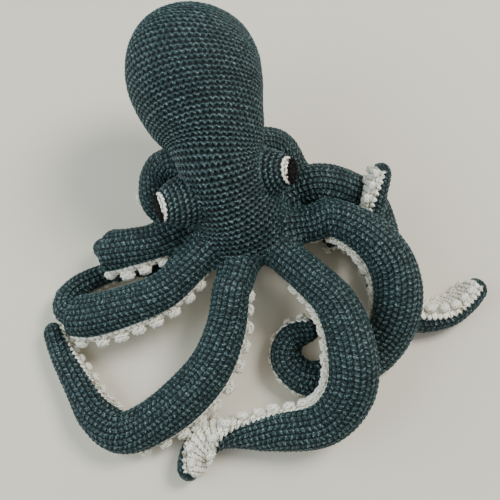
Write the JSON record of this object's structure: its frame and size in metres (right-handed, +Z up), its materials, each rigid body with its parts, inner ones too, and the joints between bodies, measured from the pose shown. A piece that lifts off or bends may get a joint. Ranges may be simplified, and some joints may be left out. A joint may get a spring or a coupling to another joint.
{
  "type": "crocheted octopus soft toy",
  "caption": "Stuffed crocheted octopus with a bulbous leaning mantle, eye mounds on its head and bendable arms with pale undersides, lying on a flat surface.",
  "frame": {"origin": "centre of the bounding box at the level of the surface it rests on", "axes": "+Z up, -Y towards the front, where the toy looks and the head slopes down; the mantle leans back along +Y"},
  "size_m": [0.3458, 0.3218, 0.1559],
  "materials": {
    "teal": "dark teal crocheted yarn",
    "cream": "cream crocheted yarn",
    "black": "black crocheted yarn",
    "stuffing": "loose polyester fibrefill"
  },
  "bodies": {
    "head": {"head_cover": "teal", "head_stuffing": "stuffing", "head_underside": "cream", "eye_left_mound": "teal", "eye_left_white": "cream", "eye_left_pupil": "black", "eye_right_mound": "teal", "eye_right_white": "cream", "eye_right_pupil": "black"},
    "mantle": {"mantle_cover": "teal", "mantle_stuffing": "stuffing"},
    "arm_1_front_base": {"arm_1_front_cover_base": "teal", "arm_1_front_underside_base": "cream", "arm_1_front_stuffing_base": "stuffing"},
    "arm_1_front_tip": {"arm_1_front_cover_tip": "teal", "arm_1_front_underside_tip": "cream", "arm_1_front_stuffing_tip": "stuffing"},
    "arm_2_front_right_base": {"arm_2_front_right_cover_base": "teal", "arm_2_front_right_underside_base": "cream", "arm_2_front_right_stuffing_base": "stuffing"},
    "arm_2_front_right_tip": {"arm_2_front_right_cover_tip": "teal", "arm_2_front_right_underside_tip": "cream", "arm_2_front_right_stuffing_tip": "stuffing"},
    "arm_3_right_base": {"arm_3_right_cover_base": "teal", "arm_3_right_underside_base": "cream", "arm_3_right_stuffing_base": "stuffing"},
    "arm_3_right_tip": {"arm_3_right_cover_tip": "teal", "arm_3_right_underside_tip": "cream", "arm_3_right_stuffing_tip": "stuffing"},
    "arm_4_back_right_base": {"arm_4_back_right_cover_base": "teal", "arm_4_back_right_underside_base": "cream", "arm_4_back_right_stuffing_base": "stuffing"},
    "arm_4_back_right_tip": {"arm_4_back_right_cover_tip": "teal", "arm_4_back_right_underside_tip": "cream", "arm_4_back_right_stuffing_tip": "stuffing"},
    "arm_5_back_base": {"arm_5_back_cover_base": "teal", "arm_5_back_underside_base": "cream", "arm_5_back_stuffing_base": "stuffing"},
    "arm_5_back_tip": {"arm_5_back_cover_tip": "teal", "arm_5_back_underside_tip": "cream", "arm_5_back_stuffing_tip": "stuffing"},
    "arm_6_back_left_base": {"arm_6_back_left_cover_base": "teal", "arm_6_back_left_underside_base": "cream", "arm_6_back_left_stuffing_base": "stuffing"},
    "arm_6_back_left_tip": {"arm_6_back_left_cover_tip": "teal", "arm_6_back_left_underside_tip": "cream", "arm_6_back_left_stuffing_tip": "stuffing"},
    "arm_7_left_base": {"arm_7_left_cover_base": "teal", "arm_7_left_underside_base": "cream", "arm_7_left_stuffing_base": "stuffing"},
    "arm_7_left_tip": {"arm_7_left_cover_tip": "teal", "arm_7_left_underside_tip": "cream", "arm_7_left_stuffing_tip": "stuffing"},
    "arm_8_front_left_base": {"arm_8_front_left_cover_base": "teal", "arm_8_front_left_underside_base": "cream", "arm_8_front_left_stuffing_base": "stuffing"},
    "arm_8_front_left_tip": {"arm_8_front_left_cover_tip": "teal", "arm_8_front_left_underside_tip": "cream", "arm_8_front_left_stuffing_tip": "stuffing"}
  },
  "joints": [
    {"name": "neck_nod", "type": "hinge", "parent": "head", "child": "mantle", "pos_m": [-0.0356, 0.06023, 0.10598], "axis": [0.9563, 0.2924, 0], "range_deg": [-5, 18]},
    {"name": "arm_1_front_base_lift", "type": "hinge", "parent": "head", "child": "arm_1_front_base", "pos_m": [-0.02475, -0.0284, 0.06], "axis": [-0.9903, 0.1392, 0], "range_deg": [0, 25]},
    {"name": "arm_1_front_tip_lift", "type": "hinge", "parent": "arm_1_front_base", "child": "arm_1_front_tip", "pos_m": [-0.10555, -0.13093, 0.02578], "axis": [0.0369, 0.9993, 0], "range_deg": [0, 25]},
    {"name": "arm_2_front_right_base_lift", "type": "hinge", "parent": "head", "child": "arm_2_front_right_base", "pos_m": [0.02025, -0.01203, 0.06], "axis": [-0.6691, -0.7431, 0], "range_deg": [0, 25]},
    {"name": "arm_2_front_right_tip_lift", "type": "hinge", "parent": "arm_2_front_right_base", "child": "arm_2_front_right_tip", "pos_m": [0.02764, -0.12899, 0.03264], "axis": [-0.1445, 0.9895, 0], "range_deg": [0, 25]},
    {"name": "arm_3_right_base_swing", "type": "hinge", "parent": "head", "child": "arm_3_right_base", "pos_m": [0.03328, 0.01943, 0.052], "axis": [0, 0, 1], "range_deg": [-4, 3]},
    {"name": "arm_3_right_tip_swing", "type": "hinge", "parent": "arm_3_right_base", "child": "arm_3_right_tip", "pos_m": [0.05454, -0.08855, 0.01384], "axis": [0, 0, 1], "range_deg": [-12, 12]},
    {"name": "arm_4_back_right_base_swing", "type": "hinge", "parent": "head", "child": "arm_4_back_right_base", "pos_m": [0.02463, 0.05062, 0.052], "axis": [0, 0, 1], "range_deg": [0, 12]},
    {"name": "arm_4_back_right_tip_lift", "type": "hinge", "parent": "arm_4_back_right_base", "child": "arm_4_back_right_tip", "pos_m": [0.10416, -0.0348, 0.02], "axis": [-0.8098, -0.5866, 0], "range_deg": [0, 20]},
    {"name": "arm_5_back_base_swing", "type": "hinge", "parent": "head", "child": "arm_5_back_base", "pos_m": [-0.01232, 0.07282, 0.052], "axis": [0, 0, 1], "range_deg": [-2, 0]},
    {"name": "arm_5_back_tip_swing", "type": "hinge", "parent": "arm_5_back_base", "child": "arm_5_back_tip", "pos_m": [0.0687, 0.0098, 0.02999], "axis": [0, 0, 1], "range_deg": [-20, 1]},
    {"name": "arm_6_back_left_base_swing", "type": "hinge", "parent": "head", "child": "arm_6_back_left_base", "pos_m": [-0.05178, 0.06, 0.052], "axis": [0, 0, 1], "range_deg": [-15, 7]},
    {"name": "arm_6_back_left_tip_swing", "type": "hinge", "parent": "arm_6_back_left_base", "child": "arm_6_back_left_tip", "pos_m": [-0.07526, 0.04363, 0.01464], "axis": [0, 0, 1], "range_deg": [-12, 12]},
    {"name": "arm_7_left_base_swing", "type": "hinge", "parent": "head", "child": "arm_7_left_base", "pos_m": [-0.06837, 0.01677, 0.052], "axis": [0, 0, 1], "range_deg": [-6, 10]},
    {"name": "arm_7_left_tip_swing", "type": "hinge", "parent": "arm_7_left_base", "child": "arm_7_left_tip", "pos_m": [-0.1025, 0.02086, 0.01216], "axis": [0, 0, 1], "range_deg": [-6, 4]},
    {"name": "arm_8_front_left_base_swing", "type": "hinge", "parent": "head", "child": "arm_8_front_left_base", "pos_m": [-0.05555, -0.01203, 0.052], "axis": [0, 0, 1], "range_deg": [-8, 7]},
    {"name": "arm_8_front_left_tip_swing", "type": "hinge", "parent": "arm_8_front_left_base", "child": "arm_8_front_left_tip", "pos_m": [-0.14441, -0.02161, 0.01163], "axis": [0, 0, 1], "range_deg": [-2, 3]}
  ]
}
